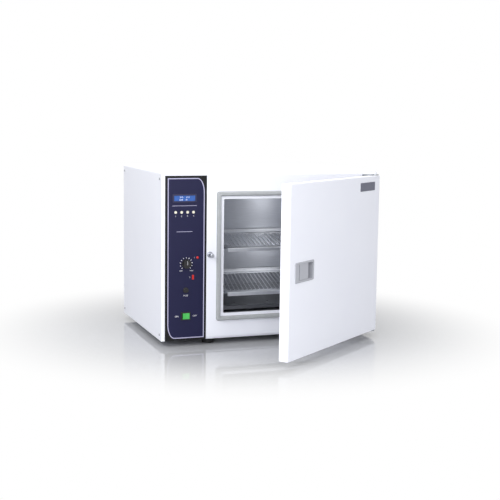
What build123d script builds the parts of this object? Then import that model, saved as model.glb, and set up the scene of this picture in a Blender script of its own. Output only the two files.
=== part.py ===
from build123d import *
import math
import os

# Bench-top laboratory incubator, in millimetres.
# X runs to the right, Y into the cabinet, Z up. The origin lies on the bench,
# under the middle of the cabinet. The door stands part open, as it is at rest.

# Cabinet
cabinet_width = 695.0
cabinet_depth = 483.0
cabinet_height = 500.0
shell_sheet = 1.5
shell_bend = 5.0
shell_flange = 18.0
rear_flange = 14.0
cabinet_screw_length = 4.4
cabinet_screw_head = 3.6
base_sheet = 1.5
base_fold = 25.0
back_sheet = 1.5
back_margin = 2.0
seam = 0.3

# Feet
foot_height = 18.0
foot_radius = 20.0
foot_taper = 2.5
foot_inset_x = 156.0
foot_inset_y = 38.0
foot_recess_radius = 8.0
foot_recess_depth = 7.0
foot_screw_radius = 3.0
foot_nut_height = 5.0

# Front: control plate at the left, fascia round the chamber
plate_left_margin = 11.0
plate_top_margin = 9.0
plate_width = 126.5
plate_thickness = 3.0
fascia_gap = 0.5
fascia_margin = 5.5
fascia_sheet = 1.5
compartment_sheet = 1.5
compartment_flange = 18.0

# Chamber
opening_left = 191.5
opening_bottom = 77.0
opening_width = 449.0
opening_height = 344.0
chamber_depth = 408.0
liner_sheet = 1.2
liner_flange = 14.0
liner_corner = 4.0
gasket_rim = 9.0
gasket_width = 13.5
gasket_thickness = 8.7
gasket_corner = 7.0
gasket_groove = 3.0

# Shelves and the floor over the heater
shelf_tops = (59.0, 194.0)
shelf_width = 408.0
shelf_depth = 385.0
shelf_setback = 15.0
shelf_sheet = 1.5
shelf_lip = 12.0
shelf_hole = 20.0
shelf_pitch = 34.0
shelf_border = 24.0
runner_leg = 30.0
runner_height = 16.0
runner_sheet = 1.5
running_gap = 0.3
floor_height = 17.0
floor_sheet = 1.5
floor_margin = 3.0
floor_hole_radius = 4.0
floor_hole_pitch = 110.0
heater_radius = 4.0
heater_leg_pitch = 92.0
heater_bend = 30.0
heater_lift = 6.5
heater_terminal = 22.0

# Door
door_overlap = 4.5
door_right_margin = 7.5
door_bottom_margin = 3.5
door_height = 485.5
door_thickness = 28.0
door_sheet = 1.5
door_edge = 2.5
gasket_clearance = 0.3
door_open_angle = 38.0
field_height = 5.0
field_inset = 2.0
field_slope = 8.0
hinge_in_from_edge = 12.0
hinge_in_from_face = 10.0
hinge_pin_radius = 4.0
hinge_pin_depth = 14.0
hinge_running = 0.06
hinge_plate = 3.0
hinge_reach = 30.0
hinge_leg = 22.0
hinge_gap = 0.8
bush_wall = 2.0
bush_flange = 0.5

# Recessed handle and latch, measured from the door's free edge
handle_offset = 30.0
handle_width = 105.0
handle_height = 57.0
handle_middle = 241.5
handle_proud = 2.5
handle_wall = 2.0
recess_offset = 19.0
recess_width = 78.5
recess_height = 45.0
recess_depth = 22.0
paddle_width = 50.0
paddle_thickness = 4.0
paddle_clearance = 0.6
paddle_boss = 5.0
paddle_pin_radius = 2.0
paddle_arm = 9.0
paddle_arm_width = 3.0
paddle_arm_tip = 2.5
paddle_arm_height = 8.0
spring_wire = 0.6
spring_turns = 4
spring_pitch = 1.8
latch_bar_height = 14.0
latch_bar_thickness = 2.5
latch_case_length = 24.0
latch_case_height = 22.0
latch_case_thickness = 9.0
strike_inset = 10.5
strike_height = 256.0
strike_radius = 6.0
strike_groove_radius = 3.5
strike_groove_width = 5.0
strike_head = 5.0
strike_hole_radius = 7.5
strike_stud = 5.8
nameplate_width = 98.0
nameplate_height = 26.0
nameplate_thickness = 1.0
nameplate_from_hinge = 36.0
nameplate_top = 468.0

# Control panel, measured from the cabinet's left side and underside
overlay_margin = 6.5
overlay_thickness = 0.8
overlay_round_width = 22.0
overlay_round_height = 44.0
display_x = 69.2
display_z = 425.0
display_width = 64.5
display_height = 16.0
display_bezel = 4.2
display_bezel_proud = 1.2
display_frame = 1.5
button_x = (41.9, 60.1, 78.3, 96.5)
button_z = 383.7
button_radius = 4.0
button_clearance = 0.4
button_proud = 1.6
button_travel = 0.8
button_stem = 2.2
button_switch_gap = 0.1
knob_x = 75.0
knob_z = 230.8
knob_radius = 12.5
knob_height = 14.0
knob_flutes = 10
knob_flute_radius = 2.0
spindle_radius = 3.0
thermostat_radius = 19.0
thermostat_depth = 24.0
lamp_x = 109.4
lamp_z = 248.4
lamp_radius = 3.8
heat_lamp_x = 95.8
heat_lamp_z = 190.0
heat_lamp_width = 6.0
heat_lamp_height = 14.0
fuse_x = 74.0
fuse_z = 151.8
fuse_flange_radius = 8.5
fuse_body_radius = 6.4
fuse_bore_radius = 4.6
fuse_cap_radius = 6.5
fuse_length = 20.0
fuse_radius = 2.6
switch_x = 73.8
switch_z = 73.6
rocker_width = 23.0
rocker_height = 17.6
switch_rim = 3.4
rocker_tilt = 8.0
rocker_trunnion = 1.2
switch_wall = 1.5

# Inside the control compartment
board_lift = 7.0
board_sheet = 1.6
sleeve_radius = 7.0
sleeve_bore = 5.0
sleeve_y = 300.0
sleeve_z = 395.0
probe_radius = 2.0
probe_reach = 70.0
inlet_x = 58.0
inlet_z = 60.0

left = -cabinet_width / 2
right = cabinet_width / 2
front = -cabinet_depth / 2
back = cabinet_depth / 2
bottom = foot_height
top = bottom + cabinet_height

plate_x0 = left + plate_left_margin
plate_x1 = plate_x0 + plate_width
plate_y = front - plate_thickness
plate_top = top - plate_top_margin
fascia_x0 = plate_x1 + fascia_gap
fascia_x1 = right - fascia_margin
fascia_z0 = bottom + fascia_margin
fascia_z1 = top - fascia_margin
fascia_y = plate_y
wall_x0 = fascia_x0 + fascia_sheet
wall_x1 = wall_x0 + compartment_sheet

chamber_x0 = left + opening_left
chamber_x1 = chamber_x0 + opening_width
chamber_z0 = bottom + opening_bottom
chamber_z1 = chamber_z0 + opening_height
chamber_y1 = front + chamber_depth
liner_y = fascia_y + fascia_sheet

door_x0 = plate_x1 - door_overlap
door_x1 = right - door_right_margin
door_z0 = bottom + door_bottom_margin
door_z1 = door_z0 + door_height
door_in_y = fascia_y - gasket_thickness - gasket_clearance
door_out_y = door_in_y - door_thickness
hinge_x = door_x1 - hinge_in_from_edge
hinge_y = door_out_y + hinge_in_from_face

overlay_y = plate_y - overlay_thickness
overlay_x0 = plate_x0 + overlay_margin
overlay_x1 = plate_x1 - overlay_margin
overlay_z0 = bottom + overlay_margin
overlay_z1 = plate_top - overlay_margin

handle_x0 = door_x0 + handle_offset
handle_x1 = handle_x0 + handle_width
handle_z = door_z0 + handle_middle
recess_x0 = handle_x0 + recess_offset
recess_x1 = recess_x0 + recess_width
recess_y = door_out_y + recess_depth
pivot_x = recess_x0 + paddle_boss + paddle_clearance
pivot_y = door_out_y + paddle_boss + 2 * paddle_clearance + 0.8
paddle_y = door_out_y - handle_proud + 1.0
latch_y = pivot_y + paddle_arm

strike_length = fascia_y - latch_y + strike_groove_width / 2 + strike_head
strike_x = plate_x1 + strike_inset
strike_z = bottom + strike_height
latch_z = strike_z

forward = (0, -1, 0)
inward = (0, 1, 0)
rightward = (1, 0, 0)
upward = (0, 0, 1)


def block(x0, x1, y0, y1, z0, z1):
    """A box between two opposite corners."""
    return Pos((x0 + x1) / 2, (y0 + y1) / 2, (z0 + z1) / 2) * Box(x1 - x0, y1 - y0, z1 - z0)


def rod(start, direction, radius, length):
    """A round bar that begins at start and runs along direction."""
    return extrude(Plane(origin=start, z_dir=direction) * Circle(radius), length)


def tube(start, direction, radius, bore, length):
    """A round bar with a bore right through it."""
    return rod(start, direction, radius, length) - rod(start, direction, bore, length)


def front_sketch(y):
    """The upright plane at depth y whose sketch axes are X and Z, facing the user."""
    return Plane(origin=(0, y, 0), x_dir=(1, 0, 0), z_dir=forward)


def upright(x0, x1, z0, z1, radius, y, length):
    """A panel with rounded corners that starts at depth y and comes length towards the user."""
    outline = Pos((x0 + x1) / 2, (z0 + z1) / 2) * RectangleRounded(x1 - x0, z1 - z0, radius)
    return extrude(front_sketch(y) * outline, length)


def swung(shape):
    """A piece of the closed door, turned to where the door stands at rest."""
    return shape.rotate(Axis((hinge_x, hinge_y, 0), upward), door_open_angle)


def side_screw_places():
    """The eight screws that hold the cabinet's sides, as Y and Z."""
    rows = (bottom + 17.0, top - 19.0)
    return [(y, z) for y in (front + 19.0, back - 16.0) for z in rows]


def back_screw_places():
    """The screws round the edge of the back panel, as X and Z."""
    inset = 9.0
    columns = (left + inset, 0.0, right - inset)
    rows = (bottom + 60.0, (bottom + top) / 2, top - 60.0)
    ends = [(x, z) for x in (columns[0], columns[2]) for z in rows]
    return ends + [(columns[1], top - inset)]


def foot_places():
    """The middle of each foot, as X and Y."""
    x = cabinet_width / 2 - foot_inset_x
    y = cabinet_depth / 2 - foot_inset_y
    return [(sx * x, sy * y) for sx in (-1, 1) for sy in (-1, 1)]


def heater_legs():
    """Depths of the heater's four legs."""
    middle = front + chamber_depth / 2
    return [middle + (i - 1.5) * heater_leg_pitch for i in range(4)]


def side_passages(radius_extra):
    """Bars along X where the heater's ends and the sensor sleeve pass from chamber to compartment."""
    x0 = wall_x0 - compartment_flange
    length = chamber_x0 + 2 * liner_sheet - x0
    heater_z = chamber_z0 + heater_lift
    legs = heater_legs()
    cuts = rod((x0, front + sleeve_y, bottom + sleeve_z), rightward, sleeve_radius, length)
    for y in (legs[0], legs[-1]):
        cuts += rod((x0, y, heater_z), rightward, heater_radius + radius_extra, length)
    return cuts


def outer_shell():
    """One folded sheet for the left side, the top and the right side, flanged front and rear."""
    outside = block(left, right, front, back, bottom, top)
    long_bends = outside.edges().filter_by(Axis.Y).group_by(Axis.Z)[-1]
    outside = fillet(long_bends, shell_bend)
    s = shell_sheet
    rear = back - back_sheet
    cavity = block(left + s, right - s, front + s, rear - s, bottom - 1, top - s)
    inner_bends = cavity.edges().filter_by(Axis.Y).group_by(Axis.Z)[-1]
    cavity = fillet(inner_bends, shell_bend - s)
    f = shell_flange
    mouth = block(left + f, right - f, front - 1, front + s + 1, bottom - 1, top - f)
    r = rear_flange
    rear_mouth = block(left + r, right - r, rear - s - 1, back + 1, bottom - 1, top - r)
    m = back_margin
    rear_seat = block(left + m, right - m, rear, back + 1, bottom - 1, top - m)
    shell = outside - cavity - mouth - rear_mouth - rear_seat
    for y, z in side_screw_places():
        shell -= rod((left - 1, y, z), rightward, 2.0, cabinet_width + 2)
    return shell


def base_pan():
    """Folded tray that closes the underside, with cooling slots under the compartment."""
    s = shell_sheet
    x0 = left + s
    x1 = right - s
    y0 = front + s
    y1 = back - back_sheet - s
    t = base_sheet
    pan = block(x0, x1, y0, y1, bottom, bottom + base_fold)
    pan -= block(x0 + t, x1 - t, y0 + t, y1 - t, bottom + t, bottom + base_fold + 1)
    for x, y in foot_places():
        pan -= rod((x, y, bottom - 1), upward, foot_screw_radius + 0.2, t + 2)
    slot_length = 60.0
    for i in range(8):
        y = front + 190.0 + 14.0 * i
        slot = Pos(left + 70.0, y) * SlotOverall(slot_length, 5.0)
        pan -= extrude(Plane.XY.offset(bottom - 1) * slot, t + 2)
    for y, z in side_screw_places()[::2]:
        pan -= rod((x0 - 1, y, z), rightward, 2.0, x1 - x0 + 2)
    return pan


def back_panel():
    """Flat sheet behind the cabinet with cooling slots and the cut-out for the power inlet."""
    m = back_margin
    z1 = top - m
    y0 = back - back_sheet
    panel = block(left + m, right - m, y0, back, bottom, z1)
    for i in range(9):
        z = top - 90.0 - 13.0 * i
        slot = Pos(left + 70.0, z) * SlotOverall(70.0, 5.0)
        panel -= extrude(front_sketch(back + 1) * slot, back_sheet + 2)
    inlet = inlet_cutout(0.0)
    panel -= extrude(front_sketch(back + 1) * inlet, back_sheet + 2)
    holes = back_screw_places() + [(left + inlet_x + dx, bottom + inlet_z) for dx in (-20.0, 20.0)]
    for x, z in holes:
        panel -= rod((x, y0 - 1, z), inward, 2.0, back_sheet + 2)
    return panel


def rear_edge_holes(shell):
    """The shell with the holes in its rear flange that take the back panel's screws."""
    for x, z in back_screw_places():
        shell -= rod((x, back - 10.0, z), inward, 2.0, 12.0)
    return shell


def inlet_cutout(shrink):
    """The outline of the inlet's body, with two corners cut, as X and Z."""
    w = 28.0 - 2 * shrink
    h = 20.0 - 2 * shrink
    cut = 5.0
    body = Rectangle(w, h)
    upper = body.vertices().group_by(Axis.Y)[-1]
    return Pos(left + inlet_x, bottom + inlet_z) * chamfer(upper, cut)


def power_inlet():
    """Three-pin appliance inlet: an eared flange, a shrouded recess and its body."""
    x = left + inlet_x
    z = bottom + inlet_z
    flange_y = back + 2.5
    depth = 26.0
    recess_depth_in = 16.5
    flange = Pos(x, z) * RectangleRounded(50.0, 23.0, 4.0)
    flange -= Pos(x - 20.0, z) * Circle(1.75)
    flange -= Pos(x + 20.0, z) * Circle(1.75)
    body = extrude(front_sketch(flange_y) * flange, 2.5)
    body += extrude(front_sketch(back) * inlet_cutout(0.2), depth)
    body -= extrude(front_sketch(flange_y) * inlet_cutout(1.9), recess_depth_in)
    for dx, dz in ((-7.0, -2.0), (0.0, 2.0), (7.0, -2.0)):
        body += block(x + dx - 1, x + dx + 1, back - 14.0, back - 4.5, z + dz - 2, z + dz + 2)
    return body


def inlet_screws():
    """Two machine screws through the inlet's ears, with their nuts behind the panel."""
    screws = Part()
    for dx in (-20.0, 20.0):
        start = (left + inlet_x + dx, back - back_sheet, bottom + inlet_z)
        screw = rod((start[0], back + 2.5, start[2]), inward, 3.0, 1.6)
        screw += rod((start[0], back - 8.0, start[2]), inward, 1.5, 11.0)
        screw += rod((start[0], back - back_sheet - 2.4, start[2]), inward, 2.8, 2.4)
        screws += screw
    return screws


def side_screws():
    """Pan-head screws on the cabinet's two sides."""
    screws = Part()
    for y, z in side_screw_places():
        for x, way in ((left, -1), (right, 1)):
            shank = rod((x, y, z), (-way, 0, 0), 1.7, cabinet_screw_length)
            dome = rod((x, y, z), (way, 0, 0), cabinet_screw_head, 1.9)
            dome = chamfer(dome.edges().group_by(Axis.X)[0 if way < 0 else -1], 0.9)
            screws += shank + dome
    return screws


def back_screws():
    """Pan-head screws that hold the back panel to the shell's rear flange."""
    screws = Part()
    for x, z in back_screw_places():
        shank = rod((x, back, z), forward, 1.7, cabinet_screw_length)
        dome = rod((x, back, z), inward, cabinet_screw_head, 1.9)
        dome = chamfer(dome.edges().group_by(Axis.Y)[-1], 0.9)
        screws += shank + dome
    return screws


def rubber_feet():
    """Four tapered rubber feet with a recess for the fixing screw."""
    feet = Part()
    for x, y in foot_places():
        profile = Plane.XZ * Polyline(
            (0, 0),
            (foot_radius - foot_taper, 0),
            (foot_radius, foot_height * 0.6),
            (foot_radius, foot_height),
            (0, foot_height),
            (0, 0),
        )
        foot = revolve(make_face(profile), Axis.Z)
        foot -= rod((0, 0, -1), upward, foot_recess_radius, foot_recess_depth + 1)
        foot -= rod((0, 0, -1), upward, foot_screw_radius + 0.2, foot_height + 2)
        feet += Pos(x, y) * foot
    return feet


def foot_screws():
    """Screw and nut that clamp each foot to the base pan."""
    screws = Part()
    top_of_pan = bottom + base_sheet
    for x, y in foot_places():
        head = rod((x, y, foot_recess_depth - 3.5), upward, foot_recess_radius - 2.5, 3.5)
        length = top_of_pan + foot_nut_height + 1.5 - foot_recess_depth
        shank = rod((x, y, foot_recess_depth), upward, foot_screw_radius, length)
        hexagon = Plane(origin=(x, y, top_of_pan)) * RegularPolygon(5.8, 6)
        screws += head + shank + extrude(hexagon, foot_nut_height)
    return screws


def compartment_wall():
    """Upright sheet between the control compartment and the insulation, flanged at the front."""
    z0 = bottom + base_sheet
    z1 = top - shell_sheet
    y0 = front
    y1 = back - back_sheet - shell_sheet - base_sheet
    wall = block(wall_x0, wall_x1, y0, y1, z0, z1)
    wall += block(wall_x1 - compartment_flange, wall_x1, y0, y0 + compartment_sheet, z0, z1)
    wall -= block(wall_x0 - 50, wall_x1 + 1, y0 - 1, y0 + shell_sheet, z1 - shell_flange, top)
    step = shell_sheet + base_sheet
    wall -= block(wall_x0 - 50, wall_x1 + 1, y0 - 1, y0 + step, bottom, bottom + base_fold)
    return wall - side_passages(0.4)


def insulation_slabs():
    """Mineral wool: one slab each above, below, left, right and behind the liner."""
    x0 = wall_x1
    x1 = right - cabinet_screw_length - seam
    y0 = front + shell_sheet + base_sheet
    y1 = back - back_sheet - shell_sheet - base_sheet
    z0 = bottom + base_sheet + foot_nut_height + 2.0
    z1 = top - shell_sheet - shell_bend / 2
    t = liner_sheet
    g = seam
    under = block(x0, x1, y0, y1, z0, chamber_z0 - t)
    over = block(x0, x1, y0, y1, chamber_z1 + t, z1)
    low = chamber_z0 - t + g
    high = chamber_z1 + t - g
    inner = block(x0, chamber_x0 - t, y0, chamber_y1 + t, low, high)
    outer = block(chamber_x1 + t, x1, y0, chamber_y1 + t, low, high)
    behind = block(x0, x1, chamber_y1 + t + g, y1, low, high)
    return Part() + [under, over, inner - side_passages(0.4), outer, behind]


def chamber_liner():
    """Stainless box, open at the front, with a flange clamped behind the fascia."""
    t = liner_sheet
    y0 = liner_y
    outside = upright(
        chamber_x0 - t, chamber_x1 + t, chamber_z0 - t, chamber_z1 + t,
        liner_corner + t, chamber_y1 + t, chamber_y1 + t - y0,
    )
    f = liner_flange
    flange = upright(
        chamber_x0 - f, chamber_x1 + f, chamber_z0 - f, chamber_z1 + f,
        liner_corner + f, y0 + t, t,
    )
    inside = upright(
        chamber_x0, chamber_x1, chamber_z0, chamber_z1,
        liner_corner, chamber_y1, chamber_y1 - y0 + 1,
    )
    return outside + flange - inside - side_passages(0.4)


def front_fascia():
    """Painted frame round the chamber, folded back at its outer edges, with the strike's hole."""
    s = fascia_sheet
    frame = block(fascia_x0, fascia_x1, fascia_y, front, fascia_z0, fascia_z1)
    face_edges = frame.edges().group_by(Axis.Y)[0]
    frame = fillet(face_edges, 1.0)
    frame -= block(fascia_x0 + s, fascia_x1 - s, fascia_y + s, front + 1, fascia_z0 + s, fascia_z1 - s)
    frame -= upright(
        chamber_x0, chamber_x1, chamber_z0, chamber_z1, liner_corner, front + 1, 10,
    )
    frame -= rod((strike_x, fascia_y - 1, strike_z), inward, 3.2, s + 2)
    return frame


def gasket_ring(inset, y, length):
    """A rectangular ring round the opening, inset from the gasket's outer edge on both sides."""
    grow = gasket_rim + gasket_width - inset
    shrink = gasket_rim + inset
    ring = upright(
        chamber_x0 - grow, chamber_x1 + grow, chamber_z0 - grow, chamber_z1 + grow,
        gasket_corner - inset / 2, y, length,
    )
    hole = upright(
        chamber_x0 - shrink, chamber_x1 + shrink, chamber_z0 - shrink, chamber_z1 + shrink,
        1.0 + inset / 2, y + 1, length + 2,
    )
    return ring - hole


def door_gasket():
    """Silicone seal round the opening: a broad foot, a waist and a bulb that meets the door."""
    foot = 2.0
    bulb = gasket_thickness - foot
    seal = gasket_ring(0.0, fascia_y, foot)
    seal += gasket_ring(gasket_groove / 2, fascia_y - foot, bulb)
    return chamfer(seal.edges().group_by(Axis.Y)[0], 2.0)


def strike_profile():
    """Half section of the strike pin: its shank, the groove for the bolt, and a bevelled head."""
    r = strike_radius
    g = strike_groove_radius
    head_start = strike_length - strike_head
    groove_start = head_start - strike_groove_width
    return Polyline(
        (0, 0), (r + 3, 0), (r + 3, 2), (r, 2), (r, groove_start), (g, groove_start),
        (g, head_start), (r, head_start), (r, strike_length - 2), (r - 2, strike_length),
        (0, strike_length), (0, 0),
    )


def latch_strike():
    """Turned steel pin on the fascia that the door's bolt hooks, with its nut behind."""
    pin = revolve(make_face(Plane.XY * strike_profile()), Axis.Y)
    pin = Pos(strike_x, fascia_y, strike_z) * (Rot(X=180) * pin)
    pin += rod((strike_x, fascia_y, strike_z), inward, 3.0, strike_stud)
    hexagon = front_sketch(fascia_y + fascia_sheet + 4.0) * Pos(strike_x, strike_z)
    pin += extrude(hexagon * RegularPolygon(5.5, 6), 4.0)
    return pin


def shelf(height):
    """Perforated tray shelf: a lip turned down at the front and up at the rear."""
    x0 = (chamber_x0 + chamber_x1 - shelf_width) / 2
    x1 = x0 + shelf_width
    y0 = front + shelf_setback
    y1 = y0 + shelf_depth
    z1 = chamber_z0 + height
    z0 = z1 - shelf_sheet
    plate = block(x0, x1, y0, y1, z0, z1)
    plate += block(x0, x1, y0, y0 + shelf_sheet, z1 - shelf_lip, z1)
    plate += block(x0, x1, y1 - shelf_sheet, y1, z0, z1 + shelf_lip)
    field_x = shelf_width - 2 * shelf_border
    field_y = shelf_depth - 2 * shelf_border
    columns = int(field_x // shelf_pitch)
    rows = int(field_y // shelf_pitch)
    middle = Plane(origin=((x0 + x1) / 2, (y0 + y1) / 2, z0 - 1))
    diamond = Rot(Z=45) * Rectangle(shelf_hole, shelf_hole)
    holes = [place * diamond for place in GridLocations(shelf_pitch, shelf_pitch, columns, rows)]
    return plate - extrude(middle * (Sketch() + holes), shelf_sheet + 2)


def shelf_runners(side):
    """Two angle brackets on one side wall that the shelves rest and slide on."""
    wall = chamber_x0 if side < 0 else chamber_x1
    y0 = front + shelf_setback + 2 * shelf_sheet
    y1 = y0 + shelf_depth - 6 * shelf_sheet
    t = runner_sheet
    runners = Part()
    for height in shelf_tops:
        z = chamber_z0 + height - shelf_sheet - running_gap
        near = wall - side * t
        tip = wall - side * runner_leg
        upright_leg = block(min(wall, near), max(wall, near), y0, y1, z - t, z - t + runner_height)
        ledge = block(min(wall, tip), max(wall, tip), y0, y1, z - t, z)
        runners += upright_leg + ledge
    return runners


def chamber_floor():
    """Folded plate over the heater: side folds stand on the liner, holes let warm air up."""
    m = floor_margin
    x0 = chamber_x0 + m
    x1 = chamber_x1 - m
    y0 = front + shelf_setback
    y1 = chamber_y1 - m
    z0 = chamber_z0
    z1 = z0 + floor_height
    t = floor_sheet
    plate = block(x0, x1, y0, y1, z1 - t, z1)
    plate += block(x0, x1, y0, y0 + t, z0 + 6.0, z1)
    plate += block(x0 + 4, x0 + 4 + t, y0, y1, z0, z1)
    plate += block(x1 - 4 - t, x1 - 4, y0, y1, z0, z1)
    for y in (front + 70.0, front + chamber_depth - 70.0):
        for i in range(4):
            x = (x0 + x1) / 2 + (i - 1.5) * floor_hole_pitch
            plate -= rod((x, y, z0), upward, floor_hole_radius, floor_height + 1)
    legs = heater_legs()
    for y in (legs[0], legs[-1]):
        notch = heater_radius + 1.5
        z = z0 + heater_lift
        plate -= block(x0 - 1, x0 + 10, y - notch, y + notch, z0 - 1, z + notch)
    return plate


def heater_element():
    """Sheathed heater bent into four legs, with both ends brought out to the compartment."""
    legs = heater_legs()
    z = chamber_z0 + heater_lift
    x_out = wall_x0 - heater_terminal
    x_in = chamber_x0 + 40.0
    x_far = chamber_x1 - 30.0
    route = [
        (x_out, legs[0], z), (x_far, legs[0], z), (x_far, legs[1], z), (x_in, legs[1], z),
        (x_in, legs[2], z), (x_far, legs[2], z), (x_far, legs[3], z), (x_out, legs[3], z),
    ]
    path = FilletPolyline(*route, radius=heater_bend)
    section = Plane(origin=route[0], z_dir=rightward) * Circle(heater_radius)
    return sweep(section, path=path)


def heater_clips():
    """Bent clips that hold the heater's legs just above the liner's floor."""
    clips = Part()
    z = chamber_z0 + heater_lift
    for y in heater_legs():
        for x in (chamber_x0 + 110.0, chamber_x1 - 110.0):
            saddle = block(x - 6, x + 6, y - 6, y + 6, chamber_z0, z + heater_radius + 1.0)
            saddle -= rod((x - 7, y, z), rightward, heater_radius + 0.1, 14)
            saddle -= block(x - 7, x + 7, y - 4.1, y + 4.1, chamber_z0 - 1, z)
            clips += saddle + block(x - 6, x + 6, y + 6, y + 14, chamber_z0, chamber_z0 + 1.5)
    return clips


def overlay_outline(inset):
    """The membrane's outline: two square corners, two large elliptical ones."""
    x0 = overlay_x0 + inset
    x1 = overlay_x1 - inset
    z0 = overlay_z0 + inset
    z1 = overlay_z1 - inset
    a = overlay_round_width - inset
    b = overlay_round_height - inset
    lower = EllipticalCenterArc((x0 + a, z0 + b), a, b, 180, arc_size=90)
    upper = EllipticalCenterArc((x1 - a, z1 - b), a, b, 0, arc_size=90)
    outline = [
        upper,
        Line((x1 - a, z1), (x0, z1)),
        Line((x0, z1), (x0, z0 + b)),
        lower,
        Line((x0 + a, z0), (x1, z0)),
        Line((x1, z0), (x1, z1 - b)),
    ]
    return make_face(outline)


def panel_cuts(sketch_only_overlay):
    """Every cut-out in the control plate, or the closer ones in the overlay, as X and Z."""
    grow = 0.0 if sketch_only_overlay else 0.3
    cuts = Pos(left + display_x, bottom + display_z) * Rectangle(
        display_width + 2 * display_frame + 2 * grow, display_height + 2 * display_frame + 2 * grow
    )
    for x in button_x:
        cuts += Pos(left + x, bottom + button_z) * Circle(button_radius + button_clearance)
    cuts += Pos(left + knob_x, bottom + knob_z) * Circle(spindle_radius + 2.2)
    cuts += Pos(left + lamp_x, bottom + lamp_z) * Circle(lamp_radius + 0.1)
    cuts += Pos(left + heat_lamp_x, bottom + heat_lamp_z) * Rectangle(
        heat_lamp_width + 0.2, heat_lamp_height + 0.2
    )
    cuts += Pos(left + fuse_x, bottom + fuse_z) * Circle(fuse_body_radius + 0.1)
    cuts += Pos(left + switch_x, bottom + switch_z) * Rectangle(
        rocker_width + 4.2, rocker_height + 3.2
    )
    return cuts


def control_plate():
    """Black anodised plate that carries the controls."""
    plate = block(plate_x0, plate_x1, plate_y, front, bottom, plate_top)
    plate = chamfer(plate.edges().group_by(Axis.Y)[0], 0.5)
    return plate - extrude(front_sketch(front + 1) * panel_cuts(False), plate_thickness + 2)


def panel_overlay():
    """Printed membrane on the control plate."""
    sheet = overlay_outline(0.0) - panel_cuts(True)
    return extrude(front_sketch(plate_y) * sheet, overlay_thickness)


def display_bezel_frame():
    """Snap-in frame round the display window."""
    x = left + display_x
    z = bottom + display_z
    w = display_width
    h = display_height
    e = display_bezel
    outer = Pos(x, z) * RectangleRounded(w + 2 * e, h + 2 * e, 1.5)
    frame = extrude(front_sketch(overlay_y) * outer, display_bezel_proud)
    frame = chamfer(frame.edges().group_by(Axis.Y)[0], 0.5)
    return frame - upright(x - w / 2, x + w / 2, z - h / 2, z + h / 2, 0.4, overlay_y + 1, 4)


def display_window():
    """Clear window of the display."""
    x = left + display_x
    z = bottom + display_z
    w = display_width / 2 + display_frame - 0.2
    h = display_height / 2 + display_frame - 0.2
    return block(x - w, x + w, overlay_y, overlay_y + 1.5, z - h, z + h)


def display_module():
    """Two-line liquid crystal module: its metal frame on a circuit board."""
    x = left + display_x
    z = bottom + display_z
    w = display_width / 2 + display_frame - 0.2
    h = display_height / 2 + display_frame - 0.2
    y1 = front + board_lift
    body = block(x - w, x + w, overlay_y + 1.5, y1, z - h, z + h)
    return body + block(x - 44, x + 44, y1, y1 + board_sheet, z - 18, z + 18)


def panel_standoffs():
    """Spacers that hold the display's board and the button board behind the plate."""
    pillars = Part()
    x = left + display_x
    for dx in (-41.0, 41.0):
        for dz in (-15.0, 15.0):
            pillars += rod((x + dx, front, bottom + display_z + dz), inward, 2.5, board_lift)
    for dx in (-38.0, 38.0):
        pillars += rod((x + dx, front, bottom + button_z), inward, 2.5, board_lift)
    return pillars


def button_board():
    """Circuit board with a tactile switch behind each button."""
    x = left + display_x
    z = bottom + button_z
    y0 = front + board_lift
    board = block(x - 42, x + 42, y0, y0 + board_sheet, z - 8, z + 8)
    tip = front + button_stem + button_travel + button_switch_gap
    for bx in button_x:
        board += block(left + bx - 3, left + bx + 3, tip + 1.2, y0, z - 3, z + 3)
        board += rod((left + bx, tip, z), inward, 1.75, 1.3)
    return board


def panel_button(x):
    """One push button: a domed cap on a flanged stem."""
    z = bottom + button_z
    y0 = overlay_y - button_proud
    cap = rod((left + x, y0, z), inward, button_radius, front + button_stem - y0)
    cap = fillet(cap.edges().group_by(Axis.Y)[0], 0.8)
    return cap + rod((left + x, front + running_gap, z), inward, button_radius + 1.2, 0.8)


def thermostat_knob():
    """Fluted knob with a skirt and a raised pointer rib, bored for its spindle."""
    x = left + knob_x
    z = bottom + knob_z
    y = overlay_y - 0.5
    skirt = rod((x, y, z), forward, knob_radius + 1.5, 2.5)
    grip = Circle(knob_radius)
    grip -= [
        Rot(Z=360.0 / knob_flutes * (i + 0.5)) * Pos(knob_radius + 0.6, 0) * Circle(knob_flute_radius)
        for i in range(knob_flutes)
    ]
    knob = skirt + extrude(front_sketch(y) * Pos(x, z) * grip, knob_height)
    end = y - knob_height
    knob += block(x - 1.0, x + 1.0, end - 1.2, end, z - 3.0, z + knob_radius - 2.0)
    return knob - rod((x, y, z), forward, spindle_radius, knob_height - 3.0)


def knob_spindle():
    """Steel spindle from the knob through the bush into the thermostat."""
    end = overlay_y - 0.5 - knob_height + 3.0
    depth = front + 8.0 - end
    return rod((left + knob_x, end, bottom + knob_z), inward, spindle_radius, depth)


def limit_thermostat():
    """Adjustable over-temperature thermostat: a bush through the plate and a drum behind it."""
    x = left + knob_x
    z = bottom + knob_z
    bush = rod((x, overlay_y, z), inward, spindle_radius + 2.0, front - overlay_y)
    drum = rod((x, front, z), inward, thermostat_radius, thermostat_depth)
    drum = fillet(drum.edges().group_by(Axis.Y)[-1], 2.0)
    drum += block(x - 9, x + 9, front + thermostat_depth - 1, front + thermostat_depth + 9, z - 12, z + 12)
    bore = rod((x, overlay_y - 1, z), inward, spindle_radius + hinge_running, front + 8.3 - overlay_y + 1)
    return bush + drum - bore


def round_lamp():
    """Red pilot lamp with a domed lens and a short body behind the plate."""
    x = left + lamp_x
    z = bottom + lamp_z
    lens = rod((x, overlay_y - 2.0, z), inward, lamp_radius, 2.0 + front - overlay_y + 1.0)
    lens = fillet(lens.edges().group_by(Axis.Y)[0], 1.5)
    return lens + rod((x, front, z), inward, lamp_radius + 1.4, 14.0)


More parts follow.
